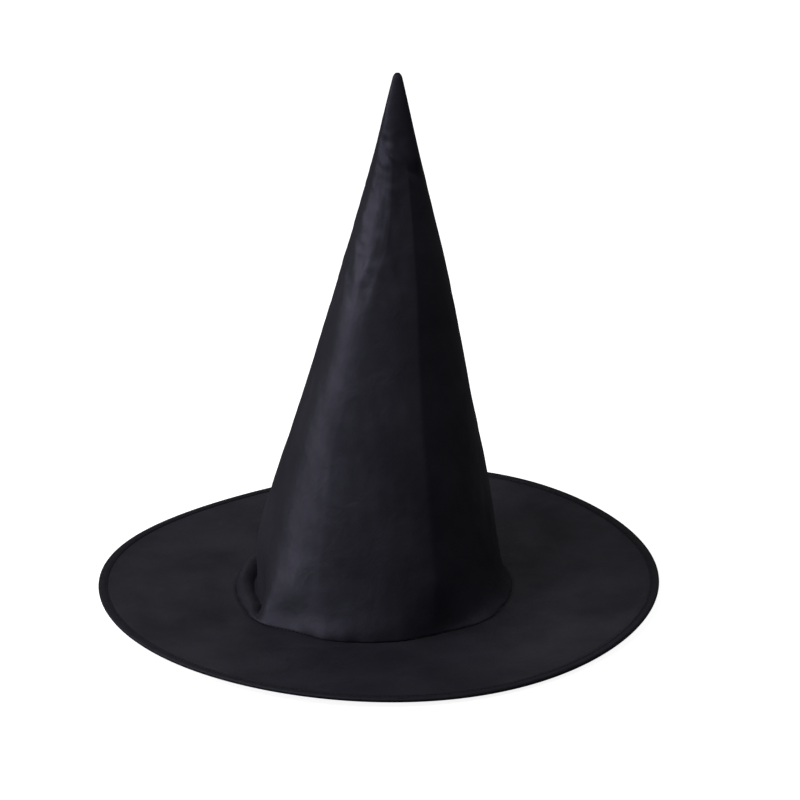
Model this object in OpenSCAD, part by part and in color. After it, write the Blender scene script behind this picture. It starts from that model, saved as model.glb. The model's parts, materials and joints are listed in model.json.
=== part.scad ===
// Pointed costume hat of black cloth: a leaning cone on a wide flat brim with a sprung edge.
// The origin is the middle of the brim, on the surface that the hat rests on; +Z is up and +Y is the back.

/* [Brim] */
// Diameter over the bound edge
brim_d = 380; // [340:1:460]
// Width of the edge binding on each face
binding_w = 6; // [5:0.5:10]
// Thickness of the stiff layer inside the brim
brim_stiffener_t = 1.4; // [1.3:0.1:3]

/* [Crown] */
// Height from the table to the tip
crown_h = 360; // [250:5:450]
// How far the tip leans to the right of the foot
crown_lean = 21; // [0:1:40]
// How far the middle of the crown bows to the right of the straight lean
crown_bow = 3; // [0:0.5:8]
// How far the wall draws in halfway up
crown_slack = 1.5; // [0:0.5:4]
// Radius of the turned point
tip_r = 3; // [2:0.5:8]
// How far the crown sits off the middle of the brim, to the right
crown_offset = -3.5; // [-10:0.5:10]
// Thickness of the stiff layer fused inside the crown
crown_stiffener_t = 0.6; // [0.3:0.1:1.5]

/* [Head opening] */
// Diameter inside the sweatband
head_d = 182; // [160:1:220]
// Height of the sweatband
band_h = 25; // [15:1:35]
// Height of its upright foot, before it follows the crown
band_foot_h = 5; // [4:0.5:8]
// Width of its turned edge under the brim
band_flange_w = 6; // [4:0.5:10]

/* [Sprung edge] */
// Thickness of the spring wire
wire_d = 1.4; // [1:0.1:1.6]
// Length of the sleeve that joins its ends
sleeve_l = 25; // [15:1:40]
// Wall of the sleeve
sleeve_wall = 0.2; // [0.15:0.05:0.25]
// How far the edge bows up and down twice round
edge_bow = 3.8; // [0:0.1:8]
// The same, three times round
edge_sway = 1.6; // [0:0.1:4]
// The same, four times round
edge_ripple = 1; // [0:0.1:2]

/* [Cloth, tape and thread] */
// Thickness of the cloth
cloth_t = 0.4; // [0.2:0.05:0.8]
// Thickness of the binding and sweatband tape
tape_t = 0.4; // [0.2:0.05:0.8]
// Thickness of the sewing thread as it lies
thread_d = 0.5; // [0.3:0.05:0.8]
// Distance from the inner edge of the binding to its stitching
stitch_inset = 1.2; // [0.8:0.1:3]
// Width of the care label
label_w = 22; // [15:1:30]
// Height of the care label
label_h = 18; // [12:1:40]
// Thickness of the care label
label_t = 0.3; // [0.2:0.05:0.5]

/* [Hidden] */
$fn = 120;

// Stations round the brim and round the crown
brim_stations = 120;
crown_stations = 72;
// Rows up the crown, and steps over its point
crown_rows = 9;
tip_steps = 3;

// Room left where a curved piece lies beside another
gap = 0.1;

// Heights of the brim's layers, from the table up
under_z = tape_t;
stiffener_z = under_z + cloth_t;
top_z = stiffener_z + brim_stiffener_t;
brim_top = top_z + cloth_t;
edge_top = brim_top + tape_t;

// Radii of the brim, from its edge inwards
brim_r = brim_d / 2;
binding_r = brim_r - binding_w;
stitch_r = binding_r + stitch_inset;
edge_round = 2 * tape_t;
cavity = brim_top - under_z;
layers_r = brim_r - tape_t - cavity;
hoop_r = brim_r - tape_t - cavity / 2;
hoop_z = under_z + cavity / 2;
sleeve_r = wire_d / 2 + gap + sleeve_wall;

// Radii of the head opening, from the head outwards
head_r = head_d / 2;
wall_slope = (head_r + 4 * crown_slack + crown_lean + 4 * crown_bow) / crown_h;
band_r = head_r + tape_t;
brim_hole_r = band_r + gap;
flat_r = head_r + band_flange_w;
crown_inner_r = band_r + wall_slope * (band_foot_h - brim_top) + 3 * gap;
crown_r = crown_inner_r + crown_stiffener_t + cloth_t;
tip_z = crown_h - tip_r;

// Places round the hat, counter-clockwise from the right, in degrees
back = 90;
wire_gap_angle = 0.3;
sleeve_angle = sleeve_l / hoop_r * 180 / PI;
sleeve_stations = 4;
label_from = back + 0.5;
label_z = band_h + 15;
label_steps = 6;

black_cloth = [0.13, 0.13, 0.15];
black_tape = [0.1, 0.1, 0.12];
black_thread = [0.08, 0.08, 0.1];
grey_felt = [0.3, 0.3, 0.32];

// How far a point at angle a of the sprung edge is from the edge's mean height
function edge_wave(a) =
    edge_bow * cos(2 * (a - 41)) + edge_sway * cos(3 * (a - 74)) + edge_ripple * cos(4 * (a + 16));
edge_low = min([for (i = [0:brim_stations - 1]) edge_wave(i * 360 / brim_stations)]);

// Share of the way from the flat ring round the head to the edge
function share(r) = max(0, min(1, (r - flat_r) / (brim_r - flat_r)));

// Place of a brim point that lies at radius r, angle a and height z on a flat brim
function on_brim(r, a, z) = [
    r * cos(a) + crown_offset * (1 - share(r)),
    r * sin(a),
    z + (edge_wave(a) - edge_low) * share(r)
];

// Radius and middle of the crown's outer face at a share t of the way from its foot to the tip
function crown_radius(t) = crown_r + (tip_r - crown_r) * t - 4 * crown_slack * t * (1 - t);
function crown_middle(t) = crown_offset + crown_lean * t + 4 * crown_bow * t * (1 - t);
function crown_z(t) = brim_top + (tip_z - brim_top) * t;
function crown_share(z) = (z - brim_top) / (tip_z - brim_top);

// Place of a point of the crown at angle a, depth d inside the outer face and share t of the height
function on_crown(t, a, d) = [
    (crown_radius(t) - d) * cos(a) + crown_middle(t),
    (crown_radius(t) - d) * sin(a),
    crown_z(t)
];

// Triangles between two rows of n points that start at a and at b
function strip(a, b, n) = [
    for (i = [0:n - 1])
        let (k = (i + 1) % n)
        each [[a + i, b + i, b + k], [a + i, b + k, a + k]]
];

// The same between rows of n points round a profile, with every diagonal drawn towards the brim's edge,
// so that layers that lie on each other share their triangles
function layer_strip(a, b, n, profile) = [
    for (i = [0:n - 1])
        let (k = (i + 1) % n)
        each profile[i].x < profile[k].x
            ? [[a + i, b + i, b + k], [a + i, b + k, a + k]]
            : [[a + i, b + i, a + k], [b + i, b + k, a + k]]
];

// Closed ring with the given profile of [radius, height] points, following the brim
module brim_ring(profile) {
    m = len(profile);
    n = brim_stations;
    polyhedron(
        [for (i = [0:n - 1]) for (p = profile) on_brim(p.x, i * 360 / n, p.y)],
        [for (i = [0:n - 1]) each layer_strip(i * m, ((i + 1) % n) * m, m, profile)]
    );
}

// Part of such a ring between two angles, in n stations
module brim_arc(profile, from, to, n) {
    m = len(profile);
    polyhedron(
        [for (i = [0:n]) for (p = profile) on_brim(p.x, from + i * (to - from) / n, p.y)],
        [
            [for (j = [0:m - 1]) j],
            for (i = [0:n - 1]) each strip(i * m, (i + 1) * m, m),
            [for (j = [0:m - 1]) n * m + m - 1 - j]
        ]
    );
}

// Round profile of radius r with n sides, on the line of the hoop
function hoop_profile(r, n) = [for (j = [0:n - 1]) [hoop_r + r * cos(j * 360 / n), hoop_z + r * sin(j * 360 / n)]];

// Tube along the hoop between two angles, in n stations of m sides
module hoop_tube(outer, inner, from, to, n, m) {
    start = (n + 1) * m;
    polyhedron(
        [
            for (r = [outer, inner], i = [0:n], p = hoop_profile(r, m))
                on_brim(p.x, from + i * (to - from) / n, p.y)
        ],
        [
            for (i = [0:n - 1]) each strip(i * m, (i + 1) * m, m),
            for (i = [0:n - 1]) each strip(start + (i + 1) * m, start + i * m, m),
            each strip(start, 0, m),
            each strip(n * m, start + n * m, m)
        ]
    );
}

// Flat layer of the brim between heights low and high, out to the hoop's channel
function layer_profile(low, high) = [
    [brim_hole_r, low], [flat_r, low], [binding_r, low], [layers_r, low],
    [layers_r, high], [binding_r, high], [flat_r, high], [brim_hole_r, high]
];

// Points of a quarter-round corner about a centre, from angle a on
function corner(centre, r, a) = [for (s = [0:2]) centre + r * [cos(a + 45 * s), sin(a + 45 * s)]];

// Row of crown points at depth d: the wall's rows, then the steps over the point
function wall_row(k, d) = [
    for (i = [0:crown_stations - 1]) on_crown(k / crown_rows, i * 360 / crown_stations, d)
];
function tip_row(s, d) =
    let (r = tip_r - d, rise = 90 * s / tip_steps, x = crown_middle(1))
    [
        for (i = [0:crown_stations - 1])
            let (a = i * 360 / crown_stations)
            [r * cos(rise) * cos(a) + x, r * cos(rise) * sin(a), tip_z + r * sin(rise)]
    ];
function shell_points(d) = [
    for (k = [0:crown_rows]) each wall_row(k, d),
    for (s = [1:tip_steps - 1]) each tip_row(s, d),
    [crown_middle(1), 0, tip_z + tip_r - d]
];

// Shell of the crown between the depths outer and inner below its outer face, open at the foot
module crown_shell(outer, inner) {
    n = crown_stations;
    rows = crown_rows + tip_steps;
    apex = rows * n;
    start = apex + 1;
    polyhedron(
        concat(shell_points(outer), shell_points(inner)),
        [
            for (k = [0:rows - 2]) each strip(k * n, (k + 1) * n, n),
            for (i = [0:n - 1]) [(rows - 1) * n + i, apex, (rows - 1) * n + (i + 1) % n],
            for (k = [0:rows - 2]) each strip(start + (k + 1) * n, start + k * n, n),
            for (i = [0:n - 1]) [start + (rows - 1) * n + (i + 1) % n, start + apex, start + (rows - 1) * n + i],
            each strip(start, 0, n)
        ]
    );
}

// Strip on the inside of the crown, t thick, through rows of angles and shares [from, to]
module crown_strip(angles, shares, t) {
    depth = crown_r - crown_inner_r + gap;
    m = len(angles);
    n = len(shares);
    top = (n - 1) * 2 * m;
    polyhedron(
        [
            for (s = shares) each [
                for (a = angles) on_crown(s, a, depth),
                for (j = [m - 1:-1:0]) on_crown(s, angles[j], depth + t)
            ]
        ],
        [
            for (j = [0:m - 2]) [j + 1, j, 2 * m - 1 - j, 2 * m - 2 - j],
            for (i = [0:n - 2]) each strip((i + 1) * 2 * m, i * 2 * m, 2 * m),
            for (j = [0:m - 2]) [top + j, top + j + 1, top + 2 * m - 2 - j, top + 2 * m - 1 - j]
        ]
    );
}

// Cone of cloth, cut as a quarter round and closed by one seam down the back
module crown_cloth() {
    color(black_cloth) crown_shell(0, cloth_t);
}

// Stiff non-woven cloth fused to the inside of the cone
module crown_interlining() {
    color(grey_felt) crown_shell(cloth_t, cloth_t + crown_stiffener_t);
}

// Stitching of the back seam, seen inside the crown
module crown_seam_thread() {
    turn = thread_d / 2 / (crown_inner_r / 2) * 180 / PI;
    steps = 2 * crown_rows;
    last = 0.95;
    color(black_thread)
        crown_strip([back - turn / 2, back + turn / 2], [for (k = [0:steps]) 0.01 + (last - 0.01) * k / steps], thread_d);
}

module brim_top_cloth() {
    color(black_cloth) brim_ring(layer_profile(top_z, brim_top));
}

module brim_interlining() {
    color(grey_felt) brim_ring(layer_profile(stiffener_z, top_z));
}

module brim_underside_cloth() {
    color(black_cloth) brim_ring(layer_profile(under_z, stiffener_z));
}

// Open ring of spring wire in the channel of the binding
module brim_hoop_wire() {
    color("silver")
        brim_arc(hoop_profile(wire_d / 2, 8), back + wire_gap_angle / 2, back + 360 - wire_gap_angle / 2, brim_stations);
}

// Sleeve over the two ends of the wire
module hoop_sleeve() {
    from = back - sleeve_angle / 2;
    to = back + sleeve_angle / 2;
    color("gray") hoop_tube(sleeve_r, sleeve_r - sleeve_wall, from, to, sleeve_stations, 12);
}

// Tape folded over the brim's edge
module edge_binding() {
    outer = edge_round;
    inner = edge_round - tape_t;
    x = brim_r - edge_round;
    low = edge_round;
    high = edge_top - edge_round;
    color(black_tape) brim_ring([
        [binding_r, 0],
        each corner([x, low], outer, -90),
        each corner([x, high], outer, 0),
        [binding_r, edge_top], [binding_r, brim_top], [layers_r, brim_top],
        for (j = [2:-1:0]) corner([x, high], inner, 0)[j],
        for (j = [2:-1:0]) corner([x, low], inner, -90)[j],
        [layers_r, under_z], [binding_r, under_z]
    ]);
}

// Stitching of the binding, as it lies on the top face
module edge_binding_thread() {
    from = stitch_r - thread_d / 2;
    to = stitch_r + thread_d / 2;
    high = edge_top + thread_d / 2;
    color(black_thread) brim_ring([[from, edge_top], [to, edge_top], [to, high], [from, high]]);
}

// Stitching that joins the crown's foot to the brim
module crown_joint_thread() {
    color(black_thread)
        translate([crown_offset, 0, brim_top]) difference() {
            cylinder(r = crown_r + gap + thread_d, h = thread_d);
            translate([0, 0, -1]) cylinder(r = crown_r + gap, h = thread_d + 2);
        }
}

// Woven tape round the head, turned out under the brim and sewn to it
module sweatband() {
    top_r = head_r - wall_slope * (band_h - band_foot_h);
    color(black_tape)
        translate([crown_offset, 0, 0]) rotate_extrude() polygon([
            [head_r, 0], [flat_r, 0], [flat_r, tape_t], [band_r, tape_t],
            [band_r, band_foot_h], [top_r + tape_t, band_h], [top_r, band_h], [head_r, band_foot_h]
        ]);
}

// Stitching of the sweatband, on the ledge of the brim inside the crown
module sweatband_thread() {
    from = band_r + 2 * gap;
    color(black_thread)
        translate([crown_offset, 0, brim_top]) difference() {
            cylinder(r = from + thread_d, h = thread_d);
            translate([0, 0, -1]) cylinder(r = from, h = thread_d + 2);
        }
}

// Blank woven label caught in the back seam
module care_label() {
    from = crown_share(label_z);
    to = crown_share(label_z + label_h);
    turn = label_w / (crown_radius(from) * PI / 180);
    color("white")
        crown_strip([for (j = [0:label_steps]) label_from + turn * j / label_steps], [from, to], label_t);
}

crown_cloth();
crown_interlining();
crown_seam_thread();
brim_top_cloth();
brim_interlining();
brim_underside_cloth();
brim_hoop_wire();
hoop_sleeve();
edge_binding();
edge_binding_thread();
crown_joint_thread();
sweatband();
sweatband_thread();
care_label();
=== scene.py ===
import json
import math

import bpy
import numpy as np
from mathutils import Matrix, Vector


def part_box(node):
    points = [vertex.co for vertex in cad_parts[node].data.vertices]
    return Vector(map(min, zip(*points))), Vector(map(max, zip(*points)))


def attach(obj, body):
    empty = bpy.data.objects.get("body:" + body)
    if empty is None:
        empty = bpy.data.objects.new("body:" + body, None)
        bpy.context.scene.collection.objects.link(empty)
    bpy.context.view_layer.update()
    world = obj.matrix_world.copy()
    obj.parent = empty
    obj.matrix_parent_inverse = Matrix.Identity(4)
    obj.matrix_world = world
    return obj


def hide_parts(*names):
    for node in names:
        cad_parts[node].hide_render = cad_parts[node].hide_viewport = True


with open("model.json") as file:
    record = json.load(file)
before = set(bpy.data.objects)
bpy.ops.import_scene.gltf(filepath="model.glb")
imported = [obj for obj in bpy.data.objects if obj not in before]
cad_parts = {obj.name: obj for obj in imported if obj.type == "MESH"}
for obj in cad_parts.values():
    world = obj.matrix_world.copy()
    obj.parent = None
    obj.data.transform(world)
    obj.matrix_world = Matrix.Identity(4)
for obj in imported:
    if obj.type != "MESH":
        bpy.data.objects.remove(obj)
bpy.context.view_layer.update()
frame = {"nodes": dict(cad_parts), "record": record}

# ---------------------------------------------------------------------------------------------------
# Camera: a long portrait lens at table distance, looking down on the hat from the front.
# It aims at the lower crown, and is turned a little about its own axis, as a hand-held one is.
# ---------------------------------------------------------------------------------------------------
MM = 0.001
wire_low, wire_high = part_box("brim_hoop_wire")
edge_middle = Vector((0, 0, (wire_low.z + wire_high.z) / 2))
camera_distance = 2.4
camera_elevation = math.radians(23.85)
camera_turn = math.radians(-0.83)
aim_right, aim_up = 16.1 * MM, 129.4 * MM
lens_length, film_width = 158.7, 36
farthest_seen = 20

camera = bpy.data.objects.new("camera", bpy.data.cameras.new("camera"))
bpy.context.collection.objects.link(camera)
bpy.context.scene.camera = camera
camera.data.lens = lens_length
camera.data.sensor_width = film_width
camera.data.clip_end = farthest_seen
camera.location = edge_middle + camera_distance * Vector(
    (0, -math.cos(camera_elevation), math.sin(camera_elevation)))
looking = edge_middle + Vector((aim_right, 0, aim_up)) - camera.location
camera.matrix_world = (Matrix.Translation(camera.location)
                       @ looking.to_track_quat("-Z", "Y").to_matrix().to_4x4()
                       @ Matrix.Rotation(camera_turn, 4, "Z"))

# ---------------------------------------------------------------------------------------------------
# Crown cloth: one quarter round of sheeny black plain-woven polyester, closed by a seam down the back
# and sewn to the brim. It came folded flat, so a sharp crease runs down its right front and a softer
# one down its left; the point is twisted, and the foot puckers where it is eased on to the brim.
# ---------------------------------------------------------------------------------------------------
def mesh_points(mesh):
    """Points of a mesh, in metres."""
    points = np.empty(len(mesh.vertices) * 3)
    mesh.vertices.foreach_get("co", points)
    return points.reshape(-1, 3)


def node_points(name):
    """Points of a CAD node, in millimetres."""
    return mesh_points(frame["nodes"][name].data) / MM


# The frame gives the height, middle and radius of the crown at each of its rows, which are full rings
# of points at one height. Angles run round the hat in degrees: 0 is its right, 90 its back, 180 its
# left and -90 its front
row_tolerance, fewest_in_row = 0.02, 40
crown_points = node_points("crown_cloth")
foot_z = crown_points[:, 2].min()
tip_z = crown_points[:, 2].max()
crown_height = tip_z - foot_z
frame_rows = []
for row_z in np.unique(crown_points[:, 2].round(2)):
    row = crown_points[np.abs(crown_points[:, 2] - row_z) < row_tolerance]
    if len(row) > fewest_in_row:
        frame_rows.append((row_z, (row[:, 0].min() + row[:, 0].max()) / 2, np.ptp(row[:, 0]) / 2))
frame_rows = np.array(frame_rows)
foot_x, foot_r = frame_rows[0, 1], frame_rows[0, 2]


def crown_middle(z):
    """How far to the right the cone's middle stands at a height."""
    return np.interp(z, frame_rows[:, 0], frame_rows[:, 1])


def crown_radius(z):
    """Radius of the plain cone at a height."""
    return np.interp(z, np.append(frame_rows[:, 0], tip_z), np.append(frame_rows[:, 2], 0))


def hump(x, middle, width):
    """Smooth hump, 1 at its middle."""
    return np.exp(-(((x - middle) / width) ** 2))


def step(x, start, end):
    """Smooth change, from 0 at the start to 1 at the end."""
    t = np.clip((x - start) / (end - start), 0, 1)
    return t * t * (3 - 2 * t)


def turn(angle, middle):
    """Signed angle from the middle, in degrees, the short way round."""
    return (angle - middle + 180) % 360 - 180


def around(angle, middle, width):
    """Smooth hump round the hat, 1 at its middle angle."""
    return hump(turn(angle, middle), 0, width)


def crease(distance, before, after, softness):
    """Height of a fold, 1 on its line, falling off over one width before it and another after it."""
    away = np.sqrt(distance ** 2 + softness ** 2) - softness
    return np.exp(-away / np.where(distance < 0, before, after))


def ripples(u, v, length, seed):
    """Smooth random hills of about the given length, between about -1 and 1."""
    random = np.random.default_rng(seed)
    total = np.zeros(np.broadcast(u, v).shape)
    waves = 28
    shortest, longest = 0.6, 1.8
    for _ in range(waves):
        heading, phase = random.uniform(0, 2 * math.pi, 2)
        pitch = length * random.uniform(shortest, longest)
        total += np.cos((u * math.cos(heading) + v * math.sin(heading)) * 2 * math.pi / pitch + phase)
    return total / math.sqrt(waves)


def seam_radius(angle):
    """Radius of the seam line round the crown's foot: round, a little squared at the front corners."""
    corners = [(2.6, -144, 13), (2.6, -38, 13), (-2.2, -122, 9), (-1.6, -62, 9)]
    return foot_r + sum(out * around(angle, middle, width) for out, middle, width in corners)


def folded_section(angle, left_fold, right_fold, left_hollow):
    """How far the crown's section stands out from a circle, as a share of its radius: cloth that was
    folded flat keeps two corners, with nearly flat panels on both sides of them."""
    side = turn(angle, -90)
    left, right = left_fold + 90, right_fold + 90
    right_end, left_end = 88, -92
    corner_share, front_hollow, right_hollow = 0.055, 0.36, 0.24
    front = np.clip((side - left) / (right - left), 0, 1)
    to_right = np.clip((side - right) / (right_end - right), 0, 1)
    to_left = np.clip((left - side) / (left - left_end), 0, 1)
    corners = corner_share * (1 - to_right) ** 2 * (1 - to_left) ** 2
    hollow = front_hollow * front * (1 - front)
    hollow += right_hollow * to_right * (1 - to_right) ** 2 + left_hollow * to_left * (1 - to_left) ** 2
    return corners - hollow


def packing_folds(angle, height):
    """How far the folds draw the crown out of round, as a share of its radius. A sharp fold runs down
    the right front, and a soft one down the left front, nearer to the middle towards the top."""
    higher = step(height, 226, 262)
    right_fold = -64.5 - 3 * hump(height, 150, 60)
    left_fold = -132 - 6 * hump(height, 120, 45) + 14 * higher
    least_between = 22
    left_fold = np.minimum(left_fold, right_fold - least_between)
    left_hollow = 0.08 + 0.16 * higher
    # The mean of six sections, turned a little, rounds the folds off
    softness = 0.8 + (13 + 14 * step(height, 200, 250)) * step(turn(angle, right_fold), -10, -50)
    turns = (-1, -0.6, -0.2, 0.2, 0.6, 1)
    return sum(folded_section(angle + softness * k, left_fold, right_fold, left_hollow)
               for k in turns) / len(turns)


def left_of_foot(angle):
    """Where the foot rolls up into a lip: 1 at the left, 0 elsewhere."""
    return step(np.abs(turn(angle, 180)), 40, 24)


def foot_offset(angle, up):
    """How far the wall stands out at its foot. It stands inside the seam line at the left, right and
    back, and flares out to meet it; there it makes a small roll, and fine puckers over the stitches."""
    tucked = 11.5 * hump(up, 0, 26) + 1.5 * np.exp(-up / 40)
    drawn_in = 9.5 * around(angle, -12, 34) + 3 * around(angle, 90, 50) - around(angle, -90, 26)
    inset = tucked * left_of_foot(angle) + drawn_in * np.exp(-up / 45)
    reach = 1.2 + 11.5 * around(angle, -4, 33) + 3 * around(angle, -90, 40)
    flare = (seam_radius(angle) - foot_r) * np.exp(-up / 14)
    roll = 0.6 * (1 - np.exp(-up / 0.5)) * np.exp(-up / 3)
    puckers = np.sin(np.radians(angle) * 31 + 1.3 * np.sin(np.radians(angle) * 7))
    return flare + roll + 0.3 * puckers * np.exp(-up / 7) - inset * (1 - np.exp(-up / reach))


# Dents and bulges of the wall: how far out, at which angle, how far round, at which height, how far up
crown_bumps = [(-1.8, -128, 9, 10, 9), (2.0, -109, 11, 3, 7), (1.8, -146, 6, 8, 10),
               (0.8, -85, 17, 5, 10), (1.3, 0, 40, 235, 50), (-1.6, -166, 9, 214, 9),
               (-1.6, -166, 9, 148, 10)]


def wall_offset(angle, z, radius):
    """How far the small shapes of the wall stand out: dents, crinkles high on the left front, soft
    hollows all over, and the groove of the back seam."""
    height = z - foot_z
    arc = np.radians(angle) * radius
    bumps = sum(out * around(angle, middle, wide) * hump(height, level, tall)
                for out, middle, wide, level, tall in crown_bumps)
    crinkled = step(height, 190, 240) * (1 - step(height, 318, 345)) * around(angle, -130, 50)
    crinkles = 0.34 * crinkled * ripples(arc, z * 0.8, 9, 3)
    hollows = 0.3 * ripples(arc, z * 0.55, 46, 5) + 0.1 * ripples(arc, z * 0.7, 14, 8)
    groove = 0.7 * np.exp(-np.abs(np.radians(turn(angle, 90)) * radius) / 1.4)
    return bumps + crinkles + hollows * step(radius, 4, 30) - groove


def foot_lip(angle, up):
    """How far the foot rolls up at the left along the seam, with a valley between it and the wall."""
    crest = 5.8 + 6.0 * step(turn(angle, 184), 6, -12)
    lip = crest * (1 - np.exp(-up / 0.25)) * np.exp(-up / 1.3)
    valley = 2.8 * hump(up, 3.8, 2.8) * step(up, 1.0, 3.0)
    return (lip - valley) * left_of_foot(angle)


def crown_face(angle, z):
    """Points of the crown's outer face, at angles in degrees and heights in millimetres."""
    height = z - foot_z
    up = np.maximum(height, 0)
    radius = crown_radius(z)

    # The folds end under the twisted point, where another arches over the front, higher at the left
    arch_middle, arch_slant, point_height = 305, 14, 60
    above_arch = height - (arch_middle - arch_slant * np.sin(np.radians(turn(angle, -96))))
    folded = packing_folds(angle, height) * step(height, 4, 42) * step(above_arch, 8, -6)
    offset = radius * folded + foot_offset(angle, up) + wall_offset(angle, z, radius)
    out = np.where(z >= tip_z, 0, np.maximum(radius + offset, 0))

    # Above the arch the front is pressed flat, and tucked in a little behind the fold
    pressed = step(above_arch, -2, 14)
    tuck = 1.9 * crease(above_arch, 1.6, 8, 0.8) * around(angle, -92, 58) * step(radius, 1, 5)
    forward = np.sin(np.radians(angle))
    forward = np.where(forward < 0, -np.abs(forward) ** (1 - 0.7 * pressed), forward)
    drawn_up = 2.6 * step(height, crown_height - point_height, crown_height)
    return np.stack(np.broadcast_arrays(out * np.cos(np.radians(angle)) + crown_middle(z),
                                        out * forward + tuck, z + foot_lip(angle, up) + drawn_up), -1)


def crown_surface(angle, z, depth):
    """Points of the crown, depth millimetres under its outer face."""
    face = crown_face(angle, z)
    beside, above, nothing = 0.5, 0.1, 1e-6
    across = crown_face(angle + beside, z) - crown_face(angle - beside, z)
    upward = crown_face(angle, z + above) - crown_face(angle, z - above)
    outward = np.cross(across, upward)
    size = np.linalg.norm(outward, axis=-1, keepdims=True)
    outward = np.where(size > nothing, outward / np.maximum(size, nothing), (0, 0, 1))
    depth = np.broadcast_to(np.asarray(depth, float)[..., None], face[..., :1].shape)
    axis_point = (face + crown_face(angle + 180, z)) / 2
    from_axis = face - axis_point
    reach = np.linalg.norm(from_axis, axis=-1, keepdims=True)
    # Near the point the layers close in on the axis instead, so they never cross it
    point_r, tightest = 12, 3
    room = np.abs((from_axis * outward).sum(-1, keepdims=True))
    share = np.maximum(0, 1 - depth / np.maximum(room, nothing))
    closing = axis_point + from_axis * share - depth * (1 - share) * (0, 0, 1)
    return np.where((reach < point_r) & (room < tightest * depth), closing, face - depth * outward)


def smooth_mesh(name, points, faces):
    """Smooth-shaded mesh, from points in millimetres."""
    mesh = bpy.data.meshes.new(name)
    mesh.from_pydata((points * MM).tolist(), [], faces)
    mesh.shade_smooth()
    return mesh


def ring_quads(lower, upper, count):
    """Faces between two rings of points, each given by the number of its first point."""
    near = np.arange(count)
    far = (near + 1) % count
    return np.stack([lower + near, lower + far, upper + far, upper + near], -1).tolist()


def shell(name, outer, inner, wrap_tip):
    """Closed shell between two grids of points, [row, column], whose columns run round."""
    rows, columns = outer.shape[:2]
    points = np.concatenate([outer.reshape(-1, 3), inner.reshape(-1, 3)])
    under = rows * columns
    faces = []
    for k in range(rows - 1):
        a, b = k * columns, (k + 1) * columns
        faces += ring_quads(a, b, columns)
        faces += ring_quads(under + b, under + a, columns)
    faces += ring_quads(under, 0, columns)
    top = (rows - 1) * columns
    if wrap_tip:
        outer_rise, inner_rise = (0, 0, 0.3), (0, 0, 0.1)
        ends = [outer[-1].mean(0) + outer_rise, inner[-1].mean(0) + inner_rise]
        points = np.concatenate([points, ends])
        apex = len(points) - 2
        faces += [[top + i, top + (i + 1) % columns, apex] for i in range(columns)]
        faces += [[under + top + (i + 1) % columns, under + top + i, apex + 1] for i in range(columns)]
    else:
        faces += ring_quads(top, under + top, columns)
    return smooth_mesh(name, points, faces)


def placed(name, mesh, *nodes, slot, material):
    """Links a finished piece, which rides on the hat and stands for its CAD nodes."""
    piece = bpy.data.objects.new(name, mesh)
    bpy.context.collection.objects.link(piece)
    mesh.materials.clear()
    mesh.materials.append(material)
    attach(piece, "root")
    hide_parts(*nodes)
    return piece


def lay_flat(mesh, places):
    """Writes where each point lay on the flat cloth, in metres, as the piece's UV map."""
    corners = np.empty(len(mesh.loops), dtype=np.int32)
    mesh.loops.foreach_get("vertex_index", corners)
    layer = mesh.uv_layers.new(name="flat_cloth")
    layer.uv.foreach_set("vector", places(corners).astype(np.float32).ravel())


def rgba(colour):
    """Linear red, green, blue and alpha of an sRGB hex colour."""
    parts = [int(colour[i:i + 2], 16) / 255 for i in (1, 3, 5)]
    return (*(p / 12.92 if p <= 0.04045 else ((p + 0.055) / 1.055) ** 2.4 for p in parts), 1)


def set_inputs(tree, node, **inputs):
    """Sets a node's inputs to values or links them to sockets. They are named with _ for spaces, or
    as i0, i1 and so on by their order."""
    for key, value in inputs.items():
        name = int(key[1:]) if key[0] == "i" and key[1:].isdigit() else key.replace("_", " ")
        if isinstance(value, bpy.types.NodeSocket):
            tree.links.new(value, node.inputs[name])
        else:
            node.inputs[name].default_value = value


def add_node(tree, kind, settings=None, **inputs):
    """Adds a node. Settings are its properties."""
    node = tree.nodes.new(kind)
    for key, value in (settings or {}).items():
        setattr(node, key, value)
    set_inputs(tree, node, **inputs)
    return node


def add_maths(tree, operation, *values):
    """Adds a maths node, and gives its result."""
    inputs = {f"i{k}": value for k, value in enumerate(values)}
    return add_node(tree, "ShaderNodeMath", {"operation": operation}, **inputs).outputs[0]


def add_shades(tree, share, dark, light, dark_at=0, light_at=1):
    """Adds a change from a dark sRGB hex colour to a light one, and gives its colour."""
    ramp = add_node(tree, "ShaderNodeValToRGB", Fac=share)
    low, high = ramp.color_ramp.elements
    low.position, high.position = dark_at, light_at
    low.color, high.color = rgba(dark), rgba(light)
    return ramp.outputs[0]


def new_material(name):
    """An empty material, with its tree, shader and output."""
    material = bpy.data.materials.new(name)
    material.use_nodes = True
    tree = material.node_tree
    tree.nodes.clear()
    shader = tree.nodes.new("ShaderNodeBsdfPrincipled")
    output = tree.nodes.new("ShaderNodeOutputMaterial")
    tree.links.new(shader.outputs[0], output.inputs[0])
    return material, tree, shader


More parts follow.
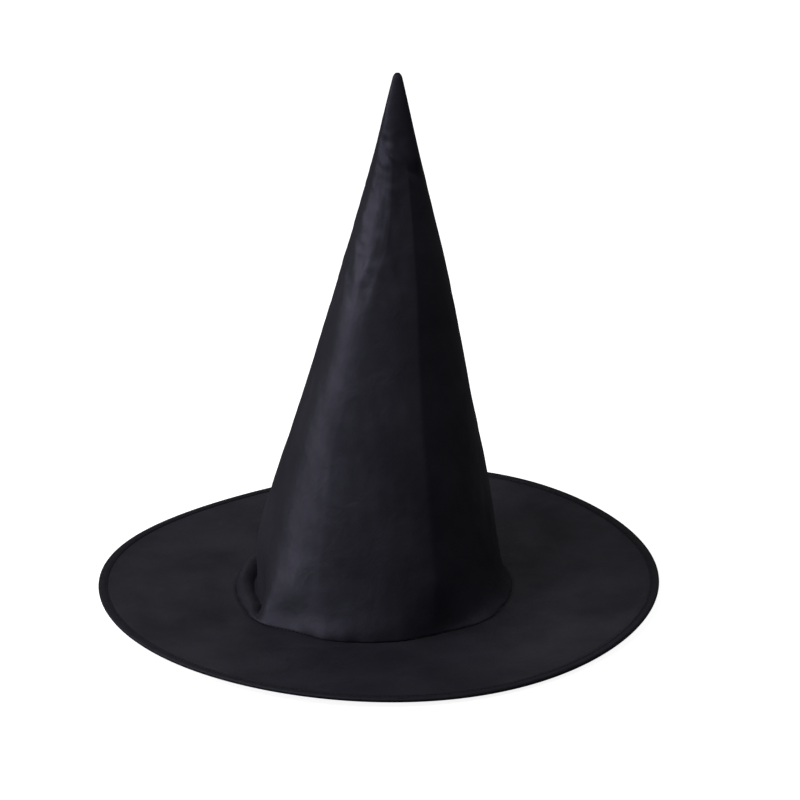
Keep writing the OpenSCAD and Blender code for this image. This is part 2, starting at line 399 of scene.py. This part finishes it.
def sheeny_black_polyester():
    """Plain-woven filament polyester, dyed black: near-black body, a broad soft gloss, and a faint
    violet-blue sheen where the threads turn away. The real threads lie 0.15 mm apart, too fine to
    show, so the weave is drawn at 0.45 mm."""
    material, tree, shader = new_material("sheeny_black_polyester")
    flat = add_node(tree, "ShaderNodeUVMap", {"uv_map": "flat_cloth"})
    place = add_node(tree, "ShaderNodeTexCoord")
    threads_per_metre = 1 / (0.45 * MM)
    split = add_node(tree, "ShaderNodeSeparateXYZ", Vector=flat.outputs["UV"])
    warp, weft = [add_maths(tree, "MULTIPLY", split.outputs[way], math.pi * threads_per_metre)
                  for way in "XY"]
    weave = add_maths(tree, "MULTIPLY", add_maths(tree, "SINE", warp), add_maths(tree, "SINE", weft))
    # Slubs: threads that run a little thick for a centimetre or two
    slub_place = add_node(tree, "ShaderNodeMapping", Vector=flat.outputs["UV"], Scale=(60, 1400, 1))
    slubs = add_node(tree, "ShaderNodeTexNoise", {"noise_dimensions": "2D"},
                     Vector=slub_place.outputs[0], Scale=1.0, Detail=2.0, Roughness=0.5)
    # Crumples: the fine, soft creasing of cloth that was packed flat
    crumples = add_node(tree, "ShaderNodeTexNoise", Vector=place.outputs["Object"],
                        Scale=60.0, Detail=3.0, Roughness=0.5, Distortion=0.4)
    clouds = add_node(tree, "ShaderNodeTexNoise", Vector=place.outputs["Object"],
                      Scale=22.0, Detail=3.0, Roughness=0.55)
    shade = add_shades(tree, clouds.outputs[0], "#1a1a1f", "#27272d", dark_at=0.36, light_at=0.66)
    gloss = add_node(tree, "ShaderNodeMapRange", Value=clouds.outputs[0], From_Min=0.33, From_Max=0.67,
                     To_Min=0.56, To_Max=0.45)
    fine = add_node(tree, "ShaderNodeBump", Strength=0.12, Distance=0.1 * MM, Height=weave)
    slubby = add_node(tree, "ShaderNodeBump", Strength=0.35, Distance=0.12 * MM,
                      Height=slubs.outputs[0], Normal=fine.outputs[0])
    crumpled = add_node(tree, "ShaderNodeBump", Strength=0.5, Distance=1.2 * MM,
                        Height=crumples.outputs[0], Normal=slubby.outputs[0])
    set_inputs(tree, shader, Base_Color=shade, Roughness=gloss.outputs[0], Normal=crumpled.outputs[0],
               Specular_IOR_Level=0.36, Specular_Tint=rgba("#dcd8ff"),
               Sheen_Weight=0.04, Sheen_Roughness=0.5, Sheen_Tint=rgba("#c4c0e0"))
    return material


black_polyester = sheeny_black_polyester()


def in_stretches(places, counts):
    """Even steps from each place to the next, a count for each, without the last place."""
    return np.concatenate([np.linspace(start, end, count, endpoint=False)
                           for start, end, count in zip(places, places[1:], counts)])


# More columns on the creased front half than on the back, and more rows at the foot, where it rolls,
# and at the arch. The rows end in a round tip
crown_angles = in_stretches([-195, 15, 165], [150, 84])
round_tip = 14
tip_turns = np.linspace(0, 0.48 * np.pi, 18)
crown_heights = foot_z + np.append(
    in_stretches([0, 3, 8, 40, 282, 326, crown_height - round_tip], [14, 9, 26, 92, 38, 7]),
    crown_height - round_tip * np.cos(tip_turns))
cloth_thickness = 0.4
crown_grid = np.meshgrid(crown_angles, crown_heights)
crown_mesh = shell("crown_cloth", crown_surface(*crown_grid, 0),
                   crown_surface(*crown_grid, cloth_thickness), wrap_tip=True)


def crown_flat(corners):
    """The cone laid flat as a quarter round, cut along the back seam."""
    x, y, z = mesh_points(crown_mesh)[corners].T
    angle = np.arctan2(y, x - crown_middle(z / MM) * MM)
    from_seam = (angle - math.pi / 2) % (2 * math.pi)
    slant = (tip_z * MM - z) * math.hypot(1, foot_r / crown_height)
    fan = from_seam * foot_r / math.hypot(foot_r, crown_height)
    return np.stack([slant * np.cos(fan), slant * np.sin(fan)], -1)


lay_flat(crown_mesh, crown_flat)
crown_cloth = placed("crown_cloth", crown_mesh, "crown_cloth", slot="black_cloth",
                     material=black_polyester)

# ---------------------------------------------------------------------------------------------------
# Crown interlining: stiff bonded non-woven, fused to the inside of the crown cloth with dots of glue.
# It keeps the empty cone standing, and shows its matted fibres inside the hat.
# ---------------------------------------------------------------------------------------------------
def bonded_non_woven():
    """Dark grey polyester fibre, bonded flat: matt, with fibres lying every way about 1 mm apart and
    a grid of small fused dots 2.5 mm apart."""
    material, tree, shader = new_material("bonded_non_woven")
    place = add_node(tree, "ShaderNodeTexCoord")
    fibres = add_node(tree, "ShaderNodeTexNoise", Vector=place.outputs["Object"],
                      Scale=900.0, Detail=3.0, Roughness=0.7, Distortion=2.5)
    dots = add_node(tree, "ShaderNodeTexVoronoi", Vector=place.outputs["Object"],
                    Scale=1 / (2.5 * MM), Randomness=0.15)
    dot_edge = add_node(tree, "ShaderNodeMapRange", Value=dots.outputs["Distance"],
                        From_Min=0.16, From_Max=0.26)
    shade = add_shades(tree, fibres.outputs[0], "#26262a", "#434349", dark_at=0.3, light_at=0.75)
    height = add_maths(tree, "MULTIPLY", fibres.outputs[0], dot_edge.outputs[0])
    bump = add_node(tree, "ShaderNodeBump", Strength=0.6, Distance=0.25 * MM, Height=height)
    set_inputs(tree, shader, Base_Color=shade, Normal=bump.outputs[0], Roughness=0.85,
               Specular_IOR_Level=0.25, Sheen_Weight=0.1)
    return material


non_woven = bonded_non_woven()
stiffener_thickness = 0.6
inner_depth = cloth_thickness + stiffener_thickness
lining_grid = np.meshgrid(crown_angles[::2], crown_heights)
interlining_mesh = shell("crown_interlining", crown_surface(*lining_grid, cloth_thickness),
                         crown_surface(*lining_grid, inner_depth), wrap_tip=True)
crown_interlining = placed("crown_interlining", interlining_mesh, "crown_interlining",
                           slot="stiff_interlining", material=non_woven)

# ---------------------------------------------------------------------------------------------------
# Crown seam thread: the lockstitch that closes the cone, seen down the back inside the hat. Twisted
# polyester thread, 0.5 mm as it lies, in stitches of 3 mm.
# ---------------------------------------------------------------------------------------------------
def twisted_black_thread():
    """Three-ply polyester sewing thread: deep black, softly shiny, with its twist drawn as slanting
    bands 5 mm apart."""
    material, tree, shader = new_material("twisted_black_thread")
    place = add_node(tree, "ShaderNodeTexCoord")
    twist = add_node(tree, "ShaderNodeTexWave", {"wave_type": "BANDS", "bands_direction": "DIAGONAL"},
                     Vector=place.outputs["Object"], Scale=125.0, Distortion=1.0)
    shade = add_shades(tree, twist.outputs["Fac"], "#0b0b0e", "#1b1b20")
    bump = add_node(tree, "ShaderNodeBump", Strength=0.4, Distance=0.06 * MM, Height=twist.outputs["Fac"])
    set_inputs(tree, shader, Base_Color=shade, Normal=bump.outputs[0], Roughness=0.45,
               Specular_IOR_Level=0.35)
    return material


def stitch_tree():
    """Geometry Nodes: lays stitches end to end along a line, each a slim grain of thread."""
    tree = bpy.data.node_groups.new("row_of_stitches", "GeometryNodeTree")
    sizes = {"Stitch Pitch": 3 * MM, "Stitch Length": 2.6 * MM, "Thread Width": 0.5 * MM, "Slant": 0.06}
    tree.interface.new_socket("Geometry", in_out="INPUT", socket_type="NodeSocketGeometry")
    for name, size in sizes.items():
        socket = tree.interface.new_socket(name, in_out="INPUT", socket_type="NodeSocketFloat")
        socket.default_value = size
    tree.interface.new_socket("Thread", in_out="INPUT", socket_type="NodeSocketMaterial")
    tree.interface.new_socket("Geometry", in_out="OUTPUT", socket_type="NodeSocketGeometry")
    given = tree.nodes.new("NodeGroupInput").outputs
    line = add_node(tree, "GeometryNodeMeshToCurve", Mesh=given["Geometry"])
    places = add_node(tree, "GeometryNodeCurveToPoints", {"mode": "LENGTH"},
                      Curve=line.outputs[0], Length=given["Stitch Pitch"])
    grain = add_node(tree, "GeometryNodeMeshUVSphere", Segments=6, Rings=5, Radius=0.5)
    shape = add_node(tree, "ShaderNodeCombineXYZ", X=given["Thread Width"], Y=given["Thread Width"],
                     Z=given["Stitch Length"])
    stitch = add_node(tree, "GeometryNodeTransform", Geometry=grain.outputs[0], Scale=shape.outputs[0])
    least = add_maths(tree, "MULTIPLY", given["Slant"], 0.5)
    slant = add_node(tree, "FunctionNodeRandomValue", {"data_type": "FLOAT"}, Seed=7)
    set_inputs(tree, slant, i2=least, i3=given["Slant"])
    lean = add_node(tree, "ShaderNodeCombineXYZ", X=slant.outputs[1], Y=slant.outputs[1])
    turned = add_node(tree, "FunctionNodeRotateRotation", {"rotation_space": "LOCAL"})
    as_turn = add_node(tree, "FunctionNodeEulerToRotation", Euler=lean.outputs[0])
    set_inputs(tree, turned, i0=places.outputs["Rotation"], i1=as_turn.outputs[0])
    sewn = add_node(tree, "GeometryNodeInstanceOnPoints", Points=places.outputs["Points"],
                    Instance=stitch.outputs[0], Rotation=turned.outputs[0])
    real = add_node(tree, "GeometryNodeRealizeInstances", Geometry=sewn.outputs[0])
    smooth = add_node(tree, "GeometryNodeSetShadeSmooth", Geometry=real.outputs[0])
    dyed = add_node(tree, "GeometryNodeSetMaterial", Geometry=smooth.outputs[0], Material=given["Thread"])
    output = tree.nodes.new("NodeGroupOutput")
    tree.links.new(dyed.outputs[0], output.inputs[0])
    return tree


row_of_stitches = stitch_tree()
black_thread = twisted_black_thread()


def sew(name, lines, **sizes):
    """Sews a row of stitches along each line of points, and places one piece of them all. Each line
    comes with whether it is closed."""
    mesh = bpy.data.meshes.new(name + "_line")
    points, edges = [], []
    for line, closed in lines:
        start = len(points)
        points += (line * MM).tolist()
        edges += [(start + i, start + i + 1) for i in range(len(line) - 1)]
        if closed:
            edges.append((start + len(line) - 1, start))
    mesh.from_pydata(points, edges, [])
    guide = bpy.data.objects.new(name + "_line", mesh)
    bpy.context.collection.objects.link(guide)
    sewing = guide.modifiers.new("sewing", "NODES")
    sewing.node_group = row_of_stitches
    sockets = {item.name: item.identifier for item in row_of_stitches.interface.items_tree
               if item.in_out == "INPUT"}
    sewing[sockets["Thread"]] = black_thread
    for size, value in sizes.items():
        sewing[sockets[size.replace("_", " ")]] = value
    bpy.context.view_layer.update()
    sewn = guide.evaluated_get(bpy.context.evaluated_depsgraph_get())
    stitches = bpy.data.meshes.new_from_object(sewn)
    bpy.data.objects.remove(guide)
    stitches.name = name
    placed(name, stitches, name, slot="black_thread", material=black_thread)


seam_start, seam_end, seam_points = 24, 330, 160
thread_depth = inner_depth + 0.15
seam_heights = foot_z + np.linspace(seam_start, seam_end, seam_points)
seam_line = crown_surface(np.full(seam_points, 90.0), seam_heights, thread_depth)
sew("crown_seam_thread", [(seam_line, False)])

# ---------------------------------------------------------------------------------------------------
# Brim top cloth: a flat ring of the same polyester, held out by the sprung edge. It is not quite
# tight, so it lies in soft waves between the head and the edge.
# ---------------------------------------------------------------------------------------------------
def node_reach(name):
    """Distance of a CAD node's points from the brim's middle, in millimetres."""
    return np.hypot(*node_points(name)[:, :2].T)


binding_reach = node_reach("edge_binding")
binding_r, brim_r = binding_reach.min(), binding_reach.max()
layer_points = node_points("brim_top_cloth")
layer_reach = node_reach("brim_top_cloth")
layers_r = layer_reach.max()
hole_points = layer_points[np.hypot(layer_points[:, 0] - foot_x, layer_points[:, 1]) < foot_r]
hole_r = np.ptp(hole_points[:, 0]) / 2
flat_low, flat_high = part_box("sweatband")
flat_r = (flat_high.y - flat_low.y) / 2 / MM

# Height of the sprung edge round the hat, from the frame's top cloth
edge_width, angle_tolerance = 0.3, 0.2
edge_points = layer_points[layer_reach > layers_r - edge_width]
edge_angles = np.degrees(np.arctan2(edge_points[:, 1], edge_points[:, 0]))
rim_angles = np.unique(edge_angles.round(1))
rim_heights = np.array([edge_points[np.abs(turn(edge_angles, a)) < angle_tolerance, 2].max()
                        for a in rim_angles])
brim_top_z = foot_z


def edge_lift(angle):
    """How far the edge stands above its place on a flat brim."""
    return np.interp(angle, rim_angles, rim_heights, period=360) - brim_top_z


def brim_share(radius):
    """Share of the way from the flat ring round the head to the edge."""
    return np.clip((radius - flat_r) / (brim_r - flat_r), 0, 1)


# Long swells of the brim: how far up, where across and how wide, where in depth and how deep
brim_swells = [(2.8, -112, 26, -9, 26), (3.2, 148, 16, -4, 28), (-1.5, 82, 44, -98, 26),
               (0.8, 70, 50, -142, 10)]


def brim_waves(x, y):
    """Soft waves and two puckers of the brim, in millimetres up."""
    reach = np.hypot(x, y)
    from_foot = np.hypot(x - foot_x, y)
    waves = 0.8 * ripples(x, y, 60, 11)
    waves += sum(rise * hump(x, across, wide) * hump(y, depth, deep)
                 for rise, across, wide, depth, deep in brim_swells)
    held = step(from_foot, foot_r + 4, foot_r + 26) * step(brim_r - 10 - reach, 0, 22)
    # The brim lies on the table in places, so there it can only wave upwards
    clear = edge_lift(np.degrees(np.arctan2(y, x))) * brim_share(reach)
    over = waves * held + clear
    puckers = 0.8 * hump(x, -38, 26) * crease(y + 101 - 0.06 * x, 7, 3, 0.8)
    puckers += 0.5 * hump(x, -98, 24) * crease(y - 130 - 0.25 * x, 6, 5, 0.8)
    return 0.5 * (over + np.hypot(over, 0.5 * held)) - clear + puckers


def brim_surface(angle, radius, z):
    """Points of the brim at angles in degrees, radii in millimetres and heights on a flat brim."""
    share = brim_share(radius)
    x = radius * np.cos(np.radians(angle)) + foot_x * (1 - share)
    y = radius * np.sin(np.radians(angle))
    lifted = z + edge_lift(angle) / brim_share(layers_r) * share + brim_waves(x, y)
    # The stitches draw its upper layers down along the crown's seam and along the binding
    from_seam = np.hypot(x - foot_x, y) - seam_radius(np.degrees(np.arctan2(y, x - foot_x)))
    seam_draw, binding_draw = 0.45, 0.3
    drawn_down = seam_draw * hump(from_seam, 0.6, 1.1) + binding_draw * hump(radius, binding_r - 0.5, 0.7)
    lifted = lifted - drawn_down * step(z, 1.0, 2.2)
    return np.stack(np.broadcast_arrays(x, y, lifted), -1)


brim_columns, edge_rows = 300, 5
brim_angles = np.linspace(-180, 180, brim_columns, endpoint=False)
brim_radii = np.append(
    in_stretches([hole_r, foot_r - 1, foot_r + 8, binding_r - 3, binding_r + 1], [5, 14, 58, 9]),
    np.linspace(binding_r + 1, layers_r, edge_rows))
brim_grid = np.meshgrid(brim_angles, brim_radii)


def brim_layer(name, low, high):
    """Closed ring of cloth between two heights on a flat brim."""
    return shell(name, brim_surface(*brim_grid, low), brim_surface(*brim_grid, high), wrap_tip=False)


def brim_cloth(name, low, high):
    """One of the brim's two cloths. Laid flat, its threads run straight across the hat."""
    mesh = brim_layer(name, low, high)
    lay_flat(mesh, lambda corners: mesh_points(mesh)[corners, :2])
    cloth = placed(name, mesh, name, slot="black_cloth", material=black_polyester)


brim_cloth("brim_top_cloth", brim_top_z - cloth_thickness, brim_top_z)

# ---------------------------------------------------------------------------------------------------
# Brim interlining: the stiff layer between the two brim cloths, 1.4 mm of the same bonded non-woven.
# It shows only as a thin edge round the head opening.
# ---------------------------------------------------------------------------------------------------
tape_thickness = 0.4
under_z = tape_thickness
stiffener_z = under_z + cloth_thickness
brim_interlining = placed("brim_interlining", brim_layer("brim_interlining", stiffener_z,
                                                         brim_top_z - cloth_thickness),
                          "brim_interlining", slot="stiff_interlining", material=non_woven)

# ---------------------------------------------------------------------------------------------------
# Brim underside cloth: the same black polyester as the top, seen when the hat is turned over.
# ---------------------------------------------------------------------------------------------------
brim_cloth("brim_underside_cloth", under_z, stiffener_z)

# ---------------------------------------------------------------------------------------------------
# Brim hoop wire and its sleeve: bright drawn spring steel in the channel of the binding. The frame's
# own pieces stay, and only take their finish here.
# ---------------------------------------------------------------------------------------------------
def drawn_spring_steel():
    """Bright drawn steel wire: a grey metal with faint lines along it from the drawing die."""
    material, tree, shader = new_material("drawn_spring_steel")
    place = add_node(tree, "ShaderNodeTexCoord")
    lines = add_node(tree, "ShaderNodeTexNoise", Vector=place.outputs["Object"], Scale=600.0, Detail=3.0)
    rough = add_node(tree, "ShaderNodeMapRange", Value=lines.outputs[0], To_Min=0.22, To_Max=0.42)
    bump = add_node(tree, "ShaderNodeBump", Strength=0.15, Distance=0.02 * MM, Height=lines.outputs[0])
    set_inputs(tree, shader, Base_Color=rgba("#a3a3a8"), Metallic=1.0, Roughness=rough.outputs[0],
               Normal=bump.outputs[0])
    return material


spring_steel = drawn_spring_steel()
for steel_node in ("brim_hoop_wire", "hoop_sleeve"):
    steel_piece = frame["nodes"][steel_node]
    for steel_slot in steel_piece.material_slots:
        steel_slot.material = spring_steel

# ---------------------------------------------------------------------------------------------------
# Edge binding: ribbed black tape, 12 mm wide, folded over the brim's edge and the wire, so that 6 mm
# shows on each face. Its inner edges are drawn down into the cloth by the stitching.
# ---------------------------------------------------------------------------------------------------
def ribbed_black_tape():
    """Woven grosgrain tape, dyed black: ribs 0.8 mm apart across it, matter and darker than the cloth."""
    material, tree, shader = new_material("ribbed_black_tape")
    flat = add_node(tree, "ShaderNodeUVMap", {"uv_map": "flat_cloth"})
    split = add_node(tree, "ShaderNodeSeparateXYZ", Vector=flat.outputs["UV"])
    along = add_maths(tree, "MULTIPLY", split.outputs["X"], 2 * math.pi / (0.8 * MM))
    rib = add_maths(tree, "SINE", along)
    lint = add_node(tree, "ShaderNodeTexNoise", {"noise_dimensions": "2D"}, Vector=flat.outputs["UV"],
                    Scale=180.0, Detail=4.0, Roughness=0.6)
    shade = add_shades(tree, lint.outputs[0], "#17171b", "#212126", dark_at=0.3, light_at=0.8)
    ribs = add_node(tree, "ShaderNodeBump", Strength=0.5, Distance=0.12 * MM, Height=rib)
    set_inputs(tree, shader, Base_Color=shade, Normal=ribs.outputs[0], Roughness=0.55,
               Specular_IOR_Level=0.3, Specular_Tint=rgba("#dcd8ff"),
               Sheen_Weight=0.03, Sheen_Tint=rgba("#c4c0e0"))
    return material


black_tape = ribbed_black_tape()
edge_top_z = brim_top_z + tape_thickness
thread_reach = node_reach("edge_binding_thread")
stitch_r = (thread_reach.min() + thread_reach.max()) / 2
stitch_pitch = 3.0


def arc_points(middle, radius, start, end, count):
    """Points of an arc between two angles in degrees."""
    angles = np.radians(np.linspace(start, end, count))
    return [(middle[0] + radius * math.cos(a), middle[1] + radius * math.sin(a)) for a in angles]


def sunk(radius, z, face):
    """Height of the tape's face where the stitches draw it in; face is 1 above and -1 below."""
    depth, width = 0.14, 0.45
    return z - face * depth * hump(radius, stitch_r, width)


fold_round = edge_top_z / 2
fold_middle = (brim_r - fold_round, fold_round)
inside_round = fold_round - tape_thickness
cut_round, cut_slant = 0.15, 0.05
face_radii = np.linspace(binding_r + cut_round, brim_r - fold_round, 14, endpoint=False)
binding_outside = ([(r, sunk(r, 0, -1)) for r in face_radii]
                   + arc_points(fold_middle, fold_round, -90, 90, 13)
                   + [(r, sunk(r, edge_top_z, 1)) for r in face_radii[::-1]])
binding_inside = ([(binding_r, edge_top_z - cut_round), (binding_r + cut_slant, brim_top_z),
                   (layers_r, brim_top_z)]
                  + arc_points(fold_middle, inside_round, 90, -90, 7)
                  + [(layers_r, under_z), (binding_r + cut_slant, under_z), (binding_r, cut_round)])
binding_profile = np.array(binding_outside + binding_inside)


def closed_band(name, points, length_r):
    """Closed ring of tape from a grid of points [station, place round its section], with its length
    and its width written as it lay flat."""
    stations, count = points.shape[:2]
    faces = []
    for k in range(stations):
        faces += ring_quads(k * count, ((k + 1) % stations) * count, count)
    mesh = smooth_mesh(name, points.reshape(-1, 3), faces)
    widths = np.concatenate([[0], np.cumsum(np.linalg.norm(np.diff(points[0], axis=0), axis=-1))])

    def unrolled(corners):
        station, place = np.divmod(corners, count)
        station = station.reshape(-1, 4)
        wraps = (station.max(1) - station.min(1)) > 1
        station = station + (wraps[:, None] & (station == 0)) * stations
        lengths = station.ravel() / stations * 2 * math.pi * length_r
        return np.stack([lengths * MM, widths[place] * MM], -1)

    lay_flat(mesh, unrolled)
    return mesh


def stitched_pucker(angle, radius, height):
    """Small rise of the tape between one stitch and the next, only on its upper half."""
    rise, width = 0.05, 1.3
    beat = np.cos(np.radians(angle) * stitch_r / stitch_pitch * 2 * math.pi)
    upper = (height > edge_top_z / 2) * 1.0
    return rise * upper * beat * hump(radius, stitch_r, width)


binding_stations = 1560
binding_angles, profile_r = np.meshgrid(np.linspace(-180, 180, binding_stations, endpoint=False),
                                        binding_profile[:, 0], indexing="ij")
profile_z = np.broadcast_to(binding_profile[:, 1], profile_r.shape)
binding_grid = brim_surface(binding_angles, profile_r, profile_z)
binding_grid[..., 2] += stitched_pucker(binding_angles, profile_r, profile_z)
binding_mesh = closed_band("edge_binding", binding_grid, brim_r)
placed("edge_binding", binding_mesh, "edge_binding", slot="black_tape", material=black_tape)

# ---------------------------------------------------------------------------------------------------
# Edge binding thread: the lockstitch along the binding's inner edge, on both faces of the brim.
# ---------------------------------------------------------------------------------------------------
stitch_line_points = 720
stitch_angles = np.linspace(-180, 180, stitch_line_points, endpoint=False)
upper_thread_z, lower_thread_z = edge_top_z - 0.02, 0.27
upper_row = brim_surface(stitch_angles, stitch_r, upper_thread_z)
lower_row = brim_surface(stitch_angles, stitch_r, lower_thread_z)
tape_thread_width = 0.42 * MM
sew("edge_binding_thread", [(upper_row, True), (lower_row, True)], Thread_Width=tape_thread_width)

# ---------------------------------------------------------------------------------------------------
# Crown joint thread: the stitching that joins the crown's foot to the brim, drawn down in the seam.
# ---------------------------------------------------------------------------------------------------
def ring_round_foot(radius, angles, z):
    """Points round the crown's foot at one height."""
    return np.stack([radius * np.cos(np.radians(angles)) + foot_x,
                     radius * np.sin(np.radians(angles)), np.full(len(angles), z)], -1)


joint_outside_seam, joint_rise = 0.35, 0.1
joint_row = ring_round_foot(seam_radius(stitch_angles) + joint_outside_seam, stitch_angles,
                            brim_top_z + joint_rise)
sew("crown_joint_thread", [(joint_row, True)])

# ---------------------------------------------------------------------------------------------------
# Sweatband: the same ribbed tape, 31 mm wide. One edge is turned out under the brim and sewn; the rest
# stands up inside the head opening and leans in with the crown.
# ---------------------------------------------------------------------------------------------------
head_r = frame["record"]["mounts"][0]["dims"]["r_mm"]
band_top_z = node_points("sweatband")[:, 2].max()
band_stitch_r = head_r + 3.2
stitch_sink, sink_width = 0.28, 0.5
wall_gap, gape_height = 0.1, 16
band_stations = 480
band_angles = np.linspace(-180, 180, band_stations, endpoint=False)


def band_face(heights, thickness):
    """The standing part of the tape, against the inside of the crown's wall and never outside the
    head opening; its free edge gapes a little here and there."""
    angle, z = np.meshgrid(band_angles, heights)
    wall = crown_surface(angle, z, inner_depth + wall_gap + thickness)
    leaning = 0.5 + 0.5 * np.sin(np.radians(angle) * 5 + 0.7)
    gape = step(z, band_top_z - gape_height, band_top_z) * leaning
    wall_r = np.hypot(wall[..., 0] - foot_x, wall[..., 1])
    shrink = np.minimum(1, (head_r + tape_thickness - thickness) / wall_r) * (1 - gape / wall_r)
    return np.stack([(wall[..., 0] - foot_x) * shrink + foot_x, wall[..., 1] * shrink, wall[..., 2]], -1)


def band_ring(radius, z):
    """One round row of the tape where it lies flat under the brim."""
    return ring_round_foot(radius, band_angles, z)


standing = brim_top_z + np.append(in_stretches([0.02, 5], [12]),
                                  np.linspace(5, band_top_z - brim_top_z - 0.2, 22))
turned_radii = np.linspace(head_r + 1.5, flat_r - 0.3, 14)
turned_rows = [band_ring(r, stitch_sink * hump(r, band_stitch_r, sink_width)) for r in turned_radii]
band_rows = ([band_ring(flat_r - 0.1, tape_thickness), band_ring(head_r + 1.2, tape_thickness),
              band_ring(head_r + tape_thickness, 0.9)]
             + list(band_face(standing, 0)) + list(band_face(standing[::-1], tape_thickness))
             + [band_ring(head_r, 0.9), band_ring(head_r + 0.3, 0.2), band_ring(head_r + 0.7, 0)]
             + turned_rows + [band_ring(flat_r, 0.15)])
band_mesh = closed_band("sweatband", np.array(band_rows)[::-1].swapaxes(0, 1), head_r)
placed("sweatband", band_mesh, "sweatband", slot="black_tape", material=black_tape)

# ---------------------------------------------------------------------------------------------------
# Sweatband thread: the lockstitch that holds the turned edge under the brim, sunk in the tape.
# ---------------------------------------------------------------------------------------------------
under_row = band_ring(band_stitch_r, stitch_sink - 0.02)
sew("sweatband_thread", [(under_row, True)], Thread_Width=tape_thread_width)

# ---------------------------------------------------------------------------------------------------
# Care label: a blank strip of white woven satin ribbon, caught by one end in the back seam.
# ---------------------------------------------------------------------------------------------------
def white_woven_ribbon():
    """White polyester satin ribbon: smooth, slightly shiny, with soft ribs 3 mm apart across it."""
    material, tree, shader = new_material("white_woven_ribbon")
    place = add_node(tree, "ShaderNodeTexCoord")
    ribs = add_node(tree, "ShaderNodeTexWave", {"wave_type": "BANDS", "bands_direction": "Z"},
                    Vector=place.outputs["Object"], Scale=100.0, Distortion=0.4)
    shade = add_shades(tree, ribs.outputs["Fac"], "#cfcfcb", "#e9e9e6")
    bump = add_node(tree, "ShaderNodeBump", Strength=0.3, Distance=0.05 * MM, Height=ribs.outputs["Fac"])
    set_inputs(tree, shader, Base_Color=shade, Normal=bump.outputs[0], Roughness=0.4)
    return material


label_low, label_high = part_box("care_label")
label_thickness = 0.3
label_columns, label_rows = 33, 27
label_start = 90.5
label_gap, end_curl, end_waver = 0.25, 1.8, 0.25
label_span = math.degrees((label_high.x - label_low.x) / (crown_radius(label_low.z / MM) * MM))
label_turns, label_levels = np.meshgrid(
    label_start + label_span * np.linspace(0, 1, label_columns),
    np.linspace(label_low.z, label_high.z, label_rows) / MM)


def label_face(depth):
    """The ribbon hangs close to the wall at the seam, and curls away from it at its free end."""
    free = (label_turns - label_start) / label_span
    curl = end_curl * free ** 2 + end_waver * np.sin(label_levels * 0.5) * free
    return crown_surface(label_turns, label_levels, inner_depth + label_gap + curl + depth)


outside_face, inside_face = label_face(0).reshape(-1, 3), label_face(label_thickness).reshape(-1, 3)
label_count = label_columns * label_rows
label_faces = []
for row in range(label_rows - 1):
    for column in range(label_columns - 1):
        a = row * label_columns + column
        quad = [a, a + 1, a + 1 + label_columns, a + label_columns]
        label_faces += [quad, [label_count + i for i in reversed(quad)]]
numbers = np.arange(label_count).reshape(label_rows, label_columns)
rim = np.concatenate([numbers[0], numbers[1:, -1], numbers[-1, -2::-1], numbers[-2:0:-1, 0]]).tolist()
for a, b in zip(rim, rim[1:] + rim[:1]):
    label_faces.append([b, a, label_count + a, label_count + b])
label_mesh = smooth_mesh("care_label", np.concatenate([outside_face, inside_face]), label_faces)
white_ribbon = white_woven_ribbon()
care_label = placed("care_label", label_mesh, "care_label", slot="white_label", material=white_ribbon)

# ---------------------------------------------------------------------------------------------------
# Light and surroundings: a pale table that runs on out of sight, a large soft box at the left and one
# over the left front, weaker ones at the right and behind, and a little light from all round. The
# table glows evenly, and neither lights the hat nor shows in its gloss.
# ---------------------------------------------------------------------------------------------------
def soft_box(name, azimuth, elevation, distance, width, height, power):
    """Rectangular light facing the hat, in degrees, metres and watts; azimuth 0 is behind the camera,
    and positive to its right."""
    lamp = bpy.data.lights.new(name, "AREA")
    lamp.shape = "RECTANGLE"
    lamp.size, lamp.size_y = width, height
    lamp.energy = power
    box = bpy.data.objects.new(name, lamp)
    bpy.context.collection.objects.link(box)
    a, e = math.radians(azimuth), math.radians(elevation)
    away = Vector((math.sin(a) * math.cos(e), -math.cos(a) * math.cos(e), math.sin(e)))
    box.matrix_world = (Matrix.Translation(lit_point + away * distance)
                        @ away.to_track_quat("Z", "Y").to_matrix().to_4x4())


lit_point = Vector((0, 0, 0.12))
soft_box("key_box", azimuth=-78, elevation=20, distance=1.6, width=1.0, height=1.5, power=13.5)
soft_box("front_box", azimuth=-44, elevation=45, distance=1.8, width=1.0, height=0.8, power=11.5)
soft_box("fill_box", azimuth=88, elevation=42, distance=2.2, width=1.4, height=1.4, power=3.6)
soft_box("back_box", azimuth=178, elevation=36, distance=2.0, width=2.2, height=0.7, power=1.8)

white = (1, 1, 1, 1)
floor_size, floor_glow, room_glow = 30, 0.9, 0.06
bpy.ops.mesh.primitive_plane_add(size=floor_size)
floor = bpy.context.object
floor.name = "floor"
pale, pale_tree, pale_shader = new_material("pale_table")
set_inputs(pale_tree, pale_shader, Base_Color=rgba("#f4f4f4"), Roughness=0.9,
           Emission_Color=white, Emission_Strength=floor_glow)
floor.data.materials.append(pale)
floor.visible_glossy = False
floor.visible_diffuse = False

world = bpy.data.worlds.new("pale_room")
bpy.context.scene.world = world
world.use_nodes = True
set_inputs(world.node_tree, world.node_tree.nodes["Background"], Color=white, Strength=room_glow)
bpy.context.scene.view_settings.view_transform = "Standard"
